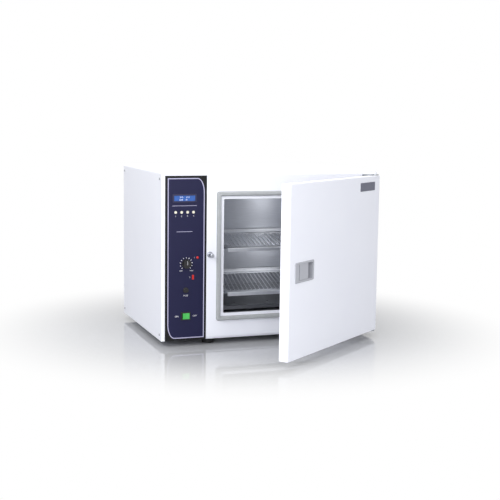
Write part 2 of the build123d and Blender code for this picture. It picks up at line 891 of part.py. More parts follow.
def heating_lamp():
    """Upright red pilot lamp with a flat lens and a snap-in body."""
    x = left + heat_lamp_x
    z = bottom + heat_lamp_z
    w = heat_lamp_width / 2
    h = heat_lamp_height / 2
    lens = block(x - w, x + w, overlay_y - 1.4, front + 1.0, z - h, z + h)
    lens = chamfer(lens.edges().group_by(Axis.Y)[0], 0.7)
    return lens + block(x - w - 1.2, x + w + 1.2, front, front + 14.0, z - h - 1.2, z + h + 1.2)


def fuse_holder():
    """Panel fuse holder: a flange on the overlay, a threaded barrel and its nut behind."""
    x = left + fuse_x
    z = bottom + fuse_z
    depth = front + 30.0 - overlay_y
    body = rod((x, overlay_y, z), inward, fuse_body_radius, depth)
    flange = rod((x, overlay_y, z), forward, fuse_flange_radius, 2.0)
    flange = chamfer(flange.edges().group_by(Axis.Y)[0], 0.6)
    nut = extrude(front_sketch(front + 4.0) * Pos(x, z) * RegularPolygon(9.5, 6), 4.0)
    bore = rod((x, overlay_y - 3.0, z), inward, fuse_bore_radius, depth)
    return body + flange + nut - bore


def fuse_cap():
    """Turn-and-pull cap with a screwdriver slot; its barrel enters the holder."""
    x = left + fuse_x
    z = bottom + fuse_z
    y = overlay_y - 2.0 - running_gap
    knob = rod((x, y, z), forward, fuse_cap_radius, 5.0)
    knob = chamfer(knob.edges().group_by(Axis.Y)[0], 1.0)
    knob -= block(x - fuse_cap_radius, x + fuse_cap_radius, y - 6.0, y - 3.6, z - 0.8, z + 0.8)
    barrel = tube((x, y, z), inward, fuse_bore_radius - running_gap, fuse_radius, 12.0)
    return knob + barrel


def fuse_link():
    """Glass fuse held in the cap."""
    start = (left + fuse_x, overlay_y - 2.0 - running_gap, bottom + fuse_z)
    return rod(start, inward, fuse_radius - 0.05, fuse_length)


def power_switch():
    """Rocker switch housing: a rim on the overlay and a hollow body behind the plate."""
    x = left + switch_x
    z = bottom + switch_z
    w = rocker_width / 2
    h = rocker_height / 2
    r = switch_rim
    rim = block(x - w - r, x + w + r, overlay_y - 2.0, overlay_y, z - h - r, z + h + r)
    rim = chamfer(rim.edges().group_by(Axis.Y)[0], 0.8)
    wall = h + switch_wall
    body = block(x - w - 2, x + w + 2, overlay_y, front + 22.0, z - wall, z + wall)
    g = running_gap
    well = block(x - w - g, x + w + g, overlay_y - 3, front + 9.0, z - h - g, z + h + g)
    blades = Part()
    for dx in (-8.0, 8.0):
        blades += block(x + dx - 0.4, x + dx + 0.4, front + 22.0, front + 31.0, z - 3, z + 3)
    bore = rod((x, switch_axis_y(), z - wall), upward, rocker_trunnion + hinge_running, 2 * wall)
    return rim + body + blades - well - bore


def power_rocker():
    """Lit rocker on two trunnions that tips about an upright axis, shown pressed on its left side."""
    x = left + switch_x
    z = bottom + switch_z
    w = rocker_width / 2 - 0.8
    h = rocker_height / 2
    y0 = overlay_y - 4.6
    y1 = front + 1.0
    profile = Polyline(
        (x - w, y0 + 1.5), (x, y0 + 2.6), (x + w, y0 + 1.5), (x + w - 2.2, y1), (x, y1 + 3.0),
        (x - w + 2.2, y1), (x - w, y0 + 1.5),
    )
    face = make_face(Plane(origin=(0, 0, z - h)) * profile)
    rocker = extrude(face, rocker_height)
    reach = h + switch_wall - 0.1
    rocker += rod((x, switch_axis_y(), z - reach), upward, rocker_trunnion, 2 * reach)
    return rocker.rotate(Axis((x, switch_axis_y(), z), upward), rocker_tilt)


def switch_axis_y():
    """Depth of the axis that the rocker tips about."""
    return front + 1.5


def door_outer_pan():
    """Folded outer skin of the door with its four returns, cut out for the handle."""
    pan = block(door_x0, door_x1, door_out_y, door_in_y, door_z0, door_z1)
    pan = fillet(pan.edges().filter_by(Axis.Z).group_by(Axis.Y)[0], door_edge)
    rims = [e for e in pan.edges().filter_by(Axis.X) if abs(e.center().Y - door_out_y) < 0.01]
    pan = fillet(rims, door_edge - 1.0)
    s = door_sheet
    pan -= block(door_x0 + s, door_x1 - s, door_out_y + s, door_in_y + 1, door_z0 + s, door_z1 - s)
    w = handle_wall
    pan -= block(
        recess_x0 - w, recess_x1 + w, door_out_y - 1, door_out_y + 4,
        handle_z - recess_height / 2 - w, handle_z + recess_height / 2 + w,
    )
    for z in (door_z0, door_z1):
        pan -= rod((hinge_x, hinge_y, z - 4), upward, hinge_bush_radius(), 8.0)
    return pan


def hinge_bush_radius():
    """Outer radius of the hinge bushes and of their seats in the door."""
    return hinge_pin_radius + bush_wall


def door_inner_panel():
    """Inner skin of the door with a raised field and the hole that the strike enters."""
    s = door_sheet
    x0 = door_x0 + s
    x1 = door_x1 - s
    z0 = door_z0 + s
    z1 = door_z1 - s
    y0 = door_in_y - s
    panel = block(x0, x1, y0, door_in_y, z0, z1)
    panel += raised_field(0.0) - block(x0, x1, y0 - 5, y0, z0, z1)
    panel -= raised_field(s)
    panel -= rod((strike_x, y0 - 1, strike_z), inward, strike_hole_radius, s + 2)
    return panel


def raised_field(shrink):
    """The tapered block inside the raised field's skin, from the panel's plane inwards."""
    b = field_inset + shrink
    x0 = chamber_x0 + b
    x1 = chamber_x1 - b
    z0 = chamber_z0 + b
    z1 = chamber_z1 - b
    mid_x = (x0 + x1) / 2
    mid_z = (z0 + z1) / 2
    y0 = door_in_y - door_sheet - (1.0 if shrink else 0.0)
    y1 = door_in_y + field_height - shrink
    k = field_slope
    wide = front_sketch(y0) * Pos(mid_x, mid_z) * RectangleRounded(x1 - x0, z1 - z0, 12.0)
    narrow = front_sketch(y1) * Pos(mid_x, mid_z) * RectangleRounded(
        x1 - x0 - 2 * k, z1 - z0 - 2 * k, 6.0
    )
    return loft([wide.faces()[0], narrow.faces()[0]])


def door_insulation():
    """Wool slab inside the door, cut away round the handle and the latch."""
    s = door_sheet
    g = seam
    x0 = door_x0 + s + g
    slab = block(
        x0, door_x1 - s - g, door_out_y + s + g, door_in_y - s - g - 1.0,
        door_z0 + s + g + hinge_pin_depth + 4, door_z1 - s - g - hinge_pin_depth - 4,
    )
    half = handle_height / 2 + 6.0
    return slab - block(x0 - 1, handle_x1 + 6, door_out_y, door_in_y, handle_z - half, handle_z + half)


def nameplate():
    """Plain bevelled plate in the door's upper corner on the hinge side."""
    x1 = door_x1 - nameplate_from_hinge
    z1 = door_z0 + nameplate_top
    plate = upright(
        x1 - nameplate_width, x1, z1 - nameplate_height, z1, 2.0, door_out_y, nameplate_thickness,
    )
    return chamfer(plate.edges().group_by(Axis.Y)[0], 0.4)


def handle_housing():
    """Moulded pocket of the handle: a rounded flange on the skin and a deep open recess."""
    half = handle_height / 2
    flange = upright(
        handle_x0, handle_x1, handle_z - half, handle_z + half, 5.0, door_out_y, handle_proud,
    )
    flange = fillet(flange.edges().group_by(Axis.Y)[0], 1.6)
    w = handle_wall
    rh = recess_height / 2
    bucket = block(
        recess_x0 - w, recess_x1 + w, door_out_y, recess_y + w, handle_z - rh - w, handle_z + rh + w,
    )
    recess = block(
        recess_x0, recess_x1, door_out_y - 5, recess_y, handle_z - rh, handle_z + rh,
    )
    housing = flange + bucket - recess
    slot = latch_bar_height / 2 + running_gap
    t = latch_bar_thickness / 2 + running_gap
    housing -= block(
        recess_x0 - w - 1, recess_x0 + 1, latch_y - t, latch_y + t, latch_z - slot, latch_z + slot,
    )
    pin_start = (pivot_x, pivot_y, handle_z - rh - w)
    return housing - rod(pin_start, upward, paddle_pin_radius, recess_height + 2 * w)


def handle_paddle():
    """Pull paddle: a curved-back plate with a finger lip, two knuckles and the crank arm."""
    c = paddle_clearance
    z0 = handle_z - recess_height / 2 + c
    z1 = handle_z + recess_height / 2 - c
    y = paddle_y
    t = paddle_thickness
    x1 = pivot_x + paddle_width
    nose = pivot_y - y
    profile = make_face([
        Line((pivot_x, y), (x1 - 2, y)),
        ThreePointArc((x1 - 2, y), (x1 - 0.6, y + 0.6), (x1, y + 2)),
        Line((x1, y + 2), (x1, y + 9)),
        Line((x1, y + 9), (x1 - 2.5, y + 9)),
        Line((x1 - 2.5, y + 9), (x1 - 4, y + t)),
        Line((x1 - 4, y + t), (pivot_x + 6, y + t)),
        Line((pivot_x + 6, y + t), (pivot_x, pivot_y)),
        Line((pivot_x, pivot_y), (pivot_x, y)),
    ])
    plate = extrude(Plane(origin=(0, 0, z0)) * profile, z1 - z0)
    plate = plate - block(pivot_x - 1, pivot_x + 6.2, y + t, pivot_y + 1, z0 + 9, z1 - 9)
    for z in (z0, z1 - 9.0):
        knuckle = rod((pivot_x, pivot_y, z), upward, paddle_boss, 9.0)
        plate += knuckle + block(pivot_x - 0.5, pivot_x + 4, y + nose / 4, pivot_y, z, z + 9.0)
    a = paddle_arm_width / 2
    h = paddle_arm_height / 2
    arm = block(pivot_x - a, pivot_x + a, y + 2, latch_y, latch_z - h, latch_z + h)
    arm += rod((pivot_x, latch_y, latch_z - h), upward, paddle_arm_tip, paddle_arm_height)
    arm += rod((pivot_x, pivot_y, latch_z - h), upward, paddle_boss, paddle_arm_height)
    bore = rod((pivot_x, pivot_y, z0 - 1), upward, paddle_pin_radius + hinge_running, z1 - z0 + 2)
    return plate + arm - bore


def paddle_pin():
    """Hinge pin of the paddle, held in the housing's upper and lower walls."""
    w = handle_wall
    start = (pivot_x, pivot_y, handle_z - recess_height / 2 - w)
    return rod(start, upward, paddle_pin_radius, recess_height + 2 * w)


def paddle_spring():
    """Torsion spring round the pin, under the crank arm."""
    coil = paddle_pin_radius + spring_wire + running_gap
    length = spring_turns * spring_pitch
    z0 = latch_z - paddle_arm_height / 2 - spring_wire - running_gap - length
    path = Pos(pivot_x, pivot_y, z0) * Helix(spring_pitch, length, coil)
    section = Plane(origin=path @ 0, z_dir=path % 0) * Circle(spring_wire)
    return sweep(section, path=path)


def latch_bolt():
    """Sliding bolt: a bevelled nose for the strike's groove and a window for the crank arm."""
    tip = strike_x + strike_groove_radius + running_gap
    h = latch_bar_height / 2
    t = latch_bar_thickness / 2
    x1 = pivot_x + 8.0
    bar = block(tip, x1, latch_y - t, latch_y + t, latch_z - h, latch_z + h)
    nose = [e for e in bar.edges().filter_by(Axis.Y) if abs(e.center().X - tip) < 0.01]
    bar = chamfer(nose, 3.0)
    wx = paddle_arm_tip + running_gap
    wz = paddle_arm_height / 2 + 0.6
    return bar - block(pivot_x - wx, pivot_x + wx, latch_y - 3, latch_y + 3, latch_z - wz, latch_z + wz)


def latch_case():
    """Guide block on the inner face of the door's skin that the bolt slides in."""
    x1 = recess_x0 - handle_wall - 0.2
    x0 = x1 - latch_case_length
    h = latch_case_height / 2
    d = latch_case_thickness / 2
    g = running_gap
    case = block(x0, x1, door_out_y + door_sheet, latch_y + d, latch_z - h, latch_z + h)
    t = latch_bar_thickness / 2 + g
    b = latch_bar_height / 2 + g
    return case - block(x0 - 1, x1 + 1, latch_y - t, latch_y + t, latch_z - b, latch_z + b)


def hinge_bracket(way):
    """Angle plate on the fascia that carries the door's pin; way is 1 at the top, -1 below."""
    z_door = door_z1 if way > 0 else door_z0
    near = z_door + way * hinge_gap
    far = near + way * hinge_plate
    z0 = min(near, far)
    x1 = hinge_x + 10.0
    x0 = x1 - hinge_reach - 12.0
    leg_z = near - way * hinge_leg
    plate = block(x0, x1, hinge_y, fascia_y, z0, z0 + hinge_plate)
    plate += rod((hinge_x, hinge_y, z0), upward, 10.0, hinge_plate)
    leg = block(x0, x1, fascia_y - hinge_plate, fascia_y, min(leg_z, far), max(leg_z, far))
    corner = plate.edges().filter_by(Axis.Z).filter_by_position(Axis.X, x0 - 0.1, x0 + 0.1)
    plate = chamfer(corner.group_by(Axis.Y)[0], 14.0)
    pin = rod((hinge_x, hinge_y, near), (0, 0, -way), hinge_pin_radius, hinge_pin_depth)
    return plate + leg + pin


def hinge_screw_places():
    """The four screws of the hinge brackets, as X and Z."""
    rows = (door_z0 + hinge_leg / 2 + 2, door_z1 - hinge_leg / 2 - 2)
    return [(x, z) for z in rows for x in (hinge_x - 26.0, hinge_x - 8.0)]


def hinge_screw_holes():
    """Clearance bars for the hinge screws through bracket and fascia."""
    holes = Part()
    for x, z in hinge_screw_places():
        holes += rod((x, fascia_y - hinge_plate - 1, z), inward, 2.0, hinge_plate + fascia_sheet + 2)
    return holes


def hinge_screws():
    """Low-head screws that hold the two brackets to the fascia."""
    screws = Part()
    for x, z in hinge_screw_places():
        head = rod((x, fascia_y - hinge_plate - 1.2, z), inward, 3.5, 1.2)
        shank = rod((x, fascia_y - hinge_plate, z), inward, 1.7, hinge_plate + fascia_sheet + 1.5)
        screws += head + shank
    return screws


def hinge_bushes():
    """Flanged nylon bushes in the door's top and bottom returns."""
    bushes = Part()
    r = hinge_bush_radius()
    bore = hinge_pin_radius + hinge_running
    for z, way in ((door_z0, 1), (door_z1, -1)):
        start = (hinge_x, hinge_y, z - way * bush_flange)
        bush = rod(start, (0, 0, way), r, hinge_pin_depth)
        bush += rod(start, (0, 0, way), r + 2.5, bush_flange)
        bushes += bush - rod(start, (0, 0, way), bore, hinge_pin_depth)
    return bushes


def sensor_sleeve():
    """Short tube that brings the two sensors through the insulation."""
    x0 = wall_x0 - 8.0
    length = chamber_x0 + 4.0 - x0
    start = (x0, front + sleeve_y, bottom + sleeve_z)
    return tube(start, rightward, sleeve_radius, sleeve_bore, length)


def temperature_probe():
    """Resistance thermometer in a stainless sheath."""
    x0 = wall_x0 - 30.0
    start = (x0, front + sleeve_y, bottom + sleeve_z + sleeve_bore / 2)
    return rod(start, rightward, probe_radius, chamber_x0 + probe_reach - x0)


def limit_bulb():
    """Sensing bulb of the over-temperature thermostat."""
    x0 = wall_x0 - 16.0
    z = bottom + sleeve_z - sleeve_bore / 2
    neck = rod((x0, front + sleeve_y, z), rightward, probe_radius, chamber_x0 + 12.0 - x0)
    bulb = rod((chamber_x0 + 10.0, front + sleeve_y, z - 1.6), rightward, 3.0, probe_reach)
    return neck + bulb


def control_board():
    """Controller board on spacers against the compartment wall, with its main components."""
    x1 = wall_x0 - board_lift
    x0 = x1 - board_sheet
    y0 = front + 120.0
    z0 = bottom + 250.0
    board = block(x0, x1, y0, y0 + 150, z0, z0 + 100)
    board += block(x0 - 16, x0, y0 + 10, y0 + 38, z0 + 60, z0 + 90)
    board += block(x0 - 5, x0, y0 + 60, y0 + 95, z0 + 30, z0 + 45)
    board += block(x0 - 12, x0, y0 + 10, y0 + 140, z0 + 4, z0 + 16)
    for dy in (6.0, 144.0):
        for dz in (22.0, 94.0):
            board += rod((x1, y0 + dy, z0 + dz), rightward, 2.5, board_lift)
    return board


def solid_state_relay():
    """Relay for the heater on a finned heat sink against the compartment wall."""
    x1 = wall_x0
    y0 = front + 130.0
    z0 = bottom + 110.0
    sink = block(x1 - 6, x1, y0, y0 + 60, z0, z0 + 80)
    for i in range(6):
        y = y0 + 2.0 + 11.0 * i
        sink += block(x1 - 20, x1 - 6, y, y + 2.0, z0, z0 + 80)
    return sink + block(x1 - 43, x1 - 20, y0 + 8, y0 + 52, z0 + 11, z0 + 69)


def all_parts():
    """Every node's name with its solids."""
    parts = {
        "outer_shell": rear_edge_holes(outer_shell()),
        "base_pan": base_pan(),
        "back_panel": back_panel(),
        "cabinet_screws": side_screws() + back_screws(),
        "rubber_feet": rubber_feet(),
        "foot_screws": foot_screws(),
        "compartment_wall": compartment_wall(),
        "insulation_slabs": insulation_slabs(),
        "chamber_liner": chamber_liner(),
        "front_fascia": front_fascia() - hinge_screw_holes(),
        "door_gasket": door_gasket(),
        "latch_strike": latch_strike(),
        "lower_shelf": shelf(shelf_tops[0]),
        "upper_shelf": shelf(shelf_tops[1]),
        "shelf_runners": shelf_runners(-1) + shelf_runners(1),
        "chamber_floor": chamber_floor(),
        "heater_element": heater_element(),
        "heater_clips": heater_clips(),
        "control_plate": control_plate(),
        "panel_overlay": panel_overlay(),
        "display_bezel": display_bezel_frame(),
        "display_window": display_window(),
        "display_module": display_module(),
        "panel_standoffs": panel_standoffs(),
        "button_board": button_board(),
        "thermostat_knob": thermostat_knob(),
        "knob_spindle": knob_spindle(),
        "limit_thermostat": limit_thermostat(),
        "round_lamp": round_lamp(),
        "heating_lamp": heating_lamp(),
        "fuse_holder": fuse_holder(),
        "fuse_cap": fuse_cap(),
        "fuse_link": fuse_link(),
        "power_switch": power_switch(),
        "power_rocker": power_rocker(),
        "door_outer_pan": swung(door_outer_pan()),
        "door_inner_panel": swung(door_inner_panel()),
        "door_insulation": swung(door_insulation()),
        "nameplate": swung(nameplate()),
        "handle_housing": swung(handle_housing()),
        "handle_paddle": swung(handle_paddle()),
        "paddle_pin": swung(paddle_pin()),
        "paddle_spring": swung(paddle_spring()),
        "latch_bolt": swung(latch_bolt()),
        "latch_case": swung(latch_case()),
        "hinge_bushes": swung(hinge_bushes()),
        "hinge_brackets": hinge_bracket(1) + hinge_bracket(-1) - hinge_screw_holes(),
        "hinge_screws": hinge_screws(),
        "sensor_sleeve": sensor_sleeve(),
        "temperature_probe": temperature_probe(),
        "limit_bulb": limit_bulb(),
        "control_board": control_board(),
        "solid_state_relay": solid_state_relay(),
        "power_inlet": power_inlet(),
        "inlet_screws": inlet_screws(),
    }
    return parts


def panel_buttons():
    """The four buttons with their nodes' names, from left to right."""
    return {f"panel_button_{i + 1}": panel_button(x) for i, x in enumerate(button_x)}


os.makedirs("parts", exist_ok=True)
for name, shape in {**all_parts(), **panel_buttons()}.items():
    export_step(shape, f"parts/{name}.step")
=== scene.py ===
import math
import bpy
import numpy as np
from mathutils import Matrix, Vector


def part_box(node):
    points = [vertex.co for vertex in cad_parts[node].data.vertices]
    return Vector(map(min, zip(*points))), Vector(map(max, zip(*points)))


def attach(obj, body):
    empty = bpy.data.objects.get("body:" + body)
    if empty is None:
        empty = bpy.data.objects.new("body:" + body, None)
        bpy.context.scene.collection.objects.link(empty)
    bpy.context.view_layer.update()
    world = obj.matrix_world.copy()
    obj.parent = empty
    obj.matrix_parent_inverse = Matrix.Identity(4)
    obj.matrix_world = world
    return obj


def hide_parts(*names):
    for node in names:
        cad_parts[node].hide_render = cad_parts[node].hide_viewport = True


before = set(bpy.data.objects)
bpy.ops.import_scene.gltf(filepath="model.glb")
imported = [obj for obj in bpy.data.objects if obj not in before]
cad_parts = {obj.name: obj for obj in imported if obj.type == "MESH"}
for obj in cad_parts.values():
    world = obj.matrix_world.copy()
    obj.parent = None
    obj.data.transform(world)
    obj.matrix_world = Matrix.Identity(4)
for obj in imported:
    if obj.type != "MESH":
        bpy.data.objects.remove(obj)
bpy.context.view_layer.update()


# The view. The photograph looks down a little from the front left, from a little over
# three metres away, with a short telephoto lens and a trace of roll.
yaw, pitch, roll = np.radians((19.992, 7.381, 0.754))
forward = Vector((math.sin(yaw) * math.cos(pitch), math.cos(yaw) * math.cos(pitch), -math.sin(pitch)))
level = Vector((math.cos(yaw), -math.sin(yaw), 0.0))
across = level * math.cos(roll) + level.cross(forward) * math.sin(roll)
camera_data = bpy.data.cameras.new("view")
camera_data.sensor_width = 36.0
camera_data.lens = 74.93
camera_data.clip_end = 50.0
camera = bpy.data.objects.new("view", camera_data)
bpy.context.scene.collection.objects.link(camera)
turn = Matrix((across, across.cross(forward), -forward)).transposed()
camera.matrix_world = Matrix.Translation((-1.1372, -3.1718, 0.6871)) @ turn.to_4x4()
bpy.context.scene.camera = camera
bpy.context.scene.view_settings.view_transform = "Standard"


# The room. A polished white table top under soft boxes, with a white surround that the
# steel and the glass reflect. It keeps the shadow and a faint mirror image of the object.
def linear(code):
    """sRGB hex to linear: c / 12.92 up to 0.04045, otherwise ((c + 0.055) / 1.055) to the power 2.4."""
    c = np.array([int(code[i:i + 2], 16) for i in (1, 3, 5)]) / 255.0
    c = np.where(c <= 0.04045, c / 12.92, ((c + 0.055) / 1.055) ** 2.4)
    return (*c.tolist(), 1.0)


def add(tree, kind, settings=(), **sockets):
    """Adds a node: settings are its attributes, sockets its inputs, as values or as links. An input goes
    by its name, or by i and its number where the node has several of that name."""
    node = tree.nodes.new(kind)
    for name, value in dict(settings).items():
        setattr(node, name, value)
    for name, value in sockets.items():
        numbered = name[0] == "i" and name[1:].isdigit()
        socket = node.inputs[int(name[1:]) if numbered else name.replace("_", " ")]
        if isinstance(value, bpy.types.NodeSocket):
            tree.links.new(value, socket)
        else:
            socket.default_value = value
    return node


# The surround gives less light than it shows, so that the lamps shape the object.
surround_light, surround_seen = 0.66, 1.0
world = bpy.data.worlds.new("surround")
bpy.context.scene.world = world
world.use_nodes = True
tree = world.node_tree
path = add(tree, "ShaderNodeLightPath")
clear = add(tree, "ShaderNodeMath", {"operation": "MAXIMUM"},
            i0=path.outputs["Is Camera Ray"], i1=path.outputs["Is Transmission Ray"])
seen = add(tree, "ShaderNodeMath", {"operation": "MAXIMUM"},
           i0=clear.outputs[0], i1=path.outputs["Is Glossy Ray"])
strength = add(tree, "ShaderNodeMix", {"data_type": "FLOAT"},
               Factor=seen.outputs[0], A=surround_light, B=surround_seen)
sky = tree.nodes["Background"]
sky.inputs["Color"].default_value = linear("#ffffff")
tree.links.new(strength.outputs[0], sky.inputs["Strength"])

# The table top lies a little under the feet, so that no two faces share a plane.
floor_size, floor_drop = 60.0, 0.0003
u, v = np.meshgrid((-0.5, 0.5), (-0.5, 0.5))
corners = np.stack((u * floor_size, v * floor_size, np.full(u.shape, -floor_drop)), axis=-1)
floor_mesh = bpy.data.meshes.new("table_top")
floor_mesh.from_pydata(corners.reshape(-1, 3).tolist(), [], [(0, 1, 3, 2)])
table_top = bpy.data.objects.new("table_top", floor_mesh)
bpy.context.scene.collection.objects.link(table_top)


def begin(name):
    """A new material: its name, its node tree, its Principled shader and its Object coordinates."""
    material = bpy.data.materials.new(name)
    material.use_nodes = True
    tree = material.node_tree
    shader = tree.nodes["Principled BSDF"]
    place = tree.nodes.new("ShaderNodeTexCoord").outputs["Object"]
    return material, tree, shader, place


# White lacquer, polished. Near the object it takes the shadow and the mirror image, and its
# glow rises with the distance, so that the far table melts into the white surround.
fade_start, fade_end = 0.40, 0.92
lacquer, tree, shader, place = begin("polished_white_lacquer")
shader.inputs["Base Color"].default_value = linear("#b2b3b6")
shader.inputs["Roughness"].default_value = 0.02
path = add(tree, "ShaderNodeLightPath")
reach = add(tree, "ShaderNodeVectorMath", {"operation": "LENGTH"}, i0=place)
fade = add(tree, "ShaderNodeMapRange", {"interpolation_type": "SMOOTHSTEP"}, Value=reach.outputs["Value"],
           From_Min=fade_start, From_Max=fade_end, To_Min=0.0, To_Max=1.0)
glow = add(tree, "ShaderNodeEmission", Color=linear("#ffffff"), Strength=1.0)
near = add(tree, "ShaderNodeMath", {"operation": "MULTIPLY"},
           i0=path.outputs["Is Camera Ray"], i1=fade.outputs[0])
pick = add(tree, "ShaderNodeMixShader", Fac=near.outputs[0], i1=shader.outputs[0], i2=glow.outputs[0])
tree.links.new(pick.outputs[0], tree.nodes["Material Output"].inputs["Surface"])
floor_mesh.materials.append(lacquer)

for name, spot, aim, size, power in (
    ("left_box", (-2.6, -1.6, 2.4), (0.0, 0.0, 0.2), 1.8, 52.0),
    ("front_box", (0.9, -3.4, 2.2), (0.0, 0.0, 0.2), 1.6, 36.0),
    ("top_box", (0.0, 0.2, 3.0), (0.0, 0.0, 0.2), 2.2, 26.0),
    ("chamber_fill", (-0.62, -1.5, 0.62), (0.06, 0.1, 0.26), 0.8, 7.0),
    ("chamber_lamp", (0.22, -0.12, 0.38), (-0.15, 0.08, 0.30), 0.07, 0.07),
    ("low_chamber_lamp", (0.22, -0.12, 0.24), (-0.15, 0.0, 0.12), 0.07, 0.14),
):
    lamp = bpy.data.lights.new(name, "AREA")
    lamp.size = size
    lamp.energy = power
    holder = bpy.data.objects.new(name, lamp)
    holder.visible_camera = False
    bpy.context.scene.collection.objects.link(holder)
    way = Vector(aim) - Vector(spot)
    holder.matrix_world = Matrix.Translation(spot) @ way.to_track_quat("-Z", "Y").to_matrix().to_4x4()


# The four feet. Moulded rubber, black and matt, each clamped to the base by one screw.
# Moulded rubber has a dusty bloom in its highlights.
def dress(material, *names):
    """These CAD nodes take the material."""
    for name in names:
        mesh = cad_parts[name].data
        mesh.materials.clear()
        mesh.materials.append(material)


# A pattern's scale is one over its real size in metres. A Mix node's colour inputs A and B
# are numbers 6 and 7, and its colour result is output 2.
bloom_size = 0.006
rubber, tree, shader, place = begin("moulded_rubber")
bloom = add(tree, "ShaderNodeTexNoise", Vector=place, Scale=1 / bloom_size, Detail=3.0)
tone = add(tree, "ShaderNodeMix", {"data_type": "RGBA"}, i0=bloom.outputs[0],
           i6=linear("#0e0e0f"), i7=linear("#222223"))
tree.links.new(tone.outputs[2], shader.inputs["Base Color"])
shader.inputs["Roughness"].default_value = 0.7
grain = add(tree, "ShaderNodeBump", Strength=0.15, Distance=0.0002, Height=bloom.outputs[0])
tree.links.new(grain.outputs[0], shader.inputs["Normal"])
dress(rubber, "rubber_feet")


# The cabinet. One folded steel wrap for the sides and top, a base pan and a back sheet,
# all powder coated white. Baked powder levels into a faint orange peel under the gloss.
cloud_size, peel_size = 0.12, 0.0022
enamel, tree, shader, place = begin("powder_coated_steel")
cloud = add(tree, "ShaderNodeTexNoise", Vector=place, Scale=1 / cloud_size, Detail=2.0)
tone = add(tree, "ShaderNodeMix", {"data_type": "RGBA"}, i0=cloud.outputs[0],
           i6=linear("#eef0fa"), i7=linear("#f2f4fc"))
tree.links.new(tone.outputs[2], shader.inputs["Base Color"])
peel = add(tree, "ShaderNodeTexNoise", Vector=place, Scale=1 / peel_size, Detail=1.0)
ripple = add(tree, "ShaderNodeBump", Strength=0.12, Distance=0.0001, Height=peel.outputs[0])
tree.links.new(ripple.outputs[0], shader.inputs["Normal"])
sheen = add(tree, "ShaderNodeMapRange", Value=cloud.outputs[0], To_Min=0.34, To_Max=0.44)
tree.links.new(sheen.outputs[0], shader.inputs["Roughness"])
dress(enamel, "outer_shell", "base_pan", "back_panel", "front_fascia", "door_outer_pan")

# Zinc-plated steel: a bright grey with a fine crystalline mottle.
spangle_size = 0.0015
zinc, tree, shader, place = begin("zinc_plated_steel")
shader.inputs["Metallic"].default_value = 1.0
spangle = add(tree, "ShaderNodeTexVoronoi", Vector=place, Scale=1 / spangle_size)
tone = add(tree, "ShaderNodeMix", {"data_type": "RGBA"}, i0=spangle.outputs[0],
           i6=linear("#9da1a6"), i7=linear("#c3c6ca"))
tree.links.new(tone.outputs[2], shader.inputs["Base Color"])
shader.inputs["Roughness"].default_value = 0.32
dress(zinc, "cabinet_screws", "foot_screws", "compartment_wall", "hinge_brackets", "hinge_screws",
      "paddle_pin", "paddle_spring", "latch_bolt", "inlet_screws", "knob_spindle")


# The chamber. A deep box of stainless sheet, lightly brushed with level strokes, and shelf
# runners of the same sheet. The brushing draws the highlights out.
stroke_length, stroke_width = 0.03, 0.0008
stainless, tree, shader, place = begin("brushed_stainless_steel")
shader.inputs["Metallic"].default_value = 1.0
stretch = add(tree, "ShaderNodeMapping", Vector=place,
              Scale=(1 / stroke_length, 1 / stroke_length, 1 / stroke_width))
strokes = add(tree, "ShaderNodeTexNoise", Vector=stretch.outputs[0], Scale=1.0, Detail=3.0)
tone = add(tree, "ShaderNodeMix", {"data_type": "RGBA"}, i0=strokes.outputs[0],
           i6=linear("#b3b6bd"), i7=linear("#cbced6"))
tree.links.new(tone.outputs[2], shader.inputs["Base Color"])
rough = add(tree, "ShaderNodeMapRange", Value=strokes.outputs[0], To_Min=0.28, To_Max=0.42)
tree.links.new(rough.outputs[0], shader.inputs["Roughness"])
dress(stainless, "chamber_liner", "shelf_runners", "door_inner_panel", "heater_clips", "sensor_sleeve",
      "temperature_probe", "limit_bulb", "latch_strike")

# The floor plate over the heater, and the heater itself: the same steel, dulled, with its colour darkened
# as painted shade for the shelves' shadow.
patch_size = 0.08
shade_painted_steel, tree, shader, place = begin("stainless_steel_with_painted_shade")
shader.inputs["Metallic"].default_value = 1.0
patches = add(tree, "ShaderNodeTexNoise", Vector=place, Scale=1 / patch_size, Detail=4.0)
# These two dark tones are painted shade, and the patches vary between them at random.
tone = add(tree, "ShaderNodeMix", {"data_type": "RGBA"}, i0=patches.outputs[0],
           i6=linear("#5a5b5f"), i7=linear("#787a7f"))
tree.links.new(tone.outputs[2], shader.inputs["Base Color"])
shader.inputs["Roughness"].default_value = 0.38
dress(shade_painted_steel, "chamber_floor", "heater_element")

# Mineral wool in the walls: matted buff fibres.
fibre_size = 0.004
wool, tree, shader, place = begin("mineral_wool")
fibres = add(tree, "ShaderNodeTexNoise", Vector=place, Scale=1 / fibre_size, Detail=6.0)
tone = add(tree, "ShaderNodeMix", {"data_type": "RGBA"}, i0=fibres.outputs[0],
           i6=linear("#a8935f"), i7=linear("#d8c794"))
tree.links.new(tone.outputs[2], shader.inputs["Base Color"])
shader.inputs["Roughness"].default_value = 0.95
dress(wool, "insulation_slabs", "door_insulation")


# The door seal. Extruded silicone, light grey, cut and joined at the corners. The dust that
# settles on it breaks up the grey.
dust_size = 0.02
silicone, tree, shader, place = begin("extruded_silicone")
dust = add(tree, "ShaderNodeTexNoise", Vector=place, Scale=1 / dust_size, Detail=3.0)
tone = add(tree, "ShaderNodeMix", {"data_type": "RGBA"}, i0=dust.outputs[0],
           i6=linear("#9c9fa2"), i7=linear("#b2b5b8"))
tree.links.new(tone.outputs[2], shader.inputs["Base Color"])
shader.inputs["Roughness"].default_value = 0.55
dress(silicone, "door_gasket")


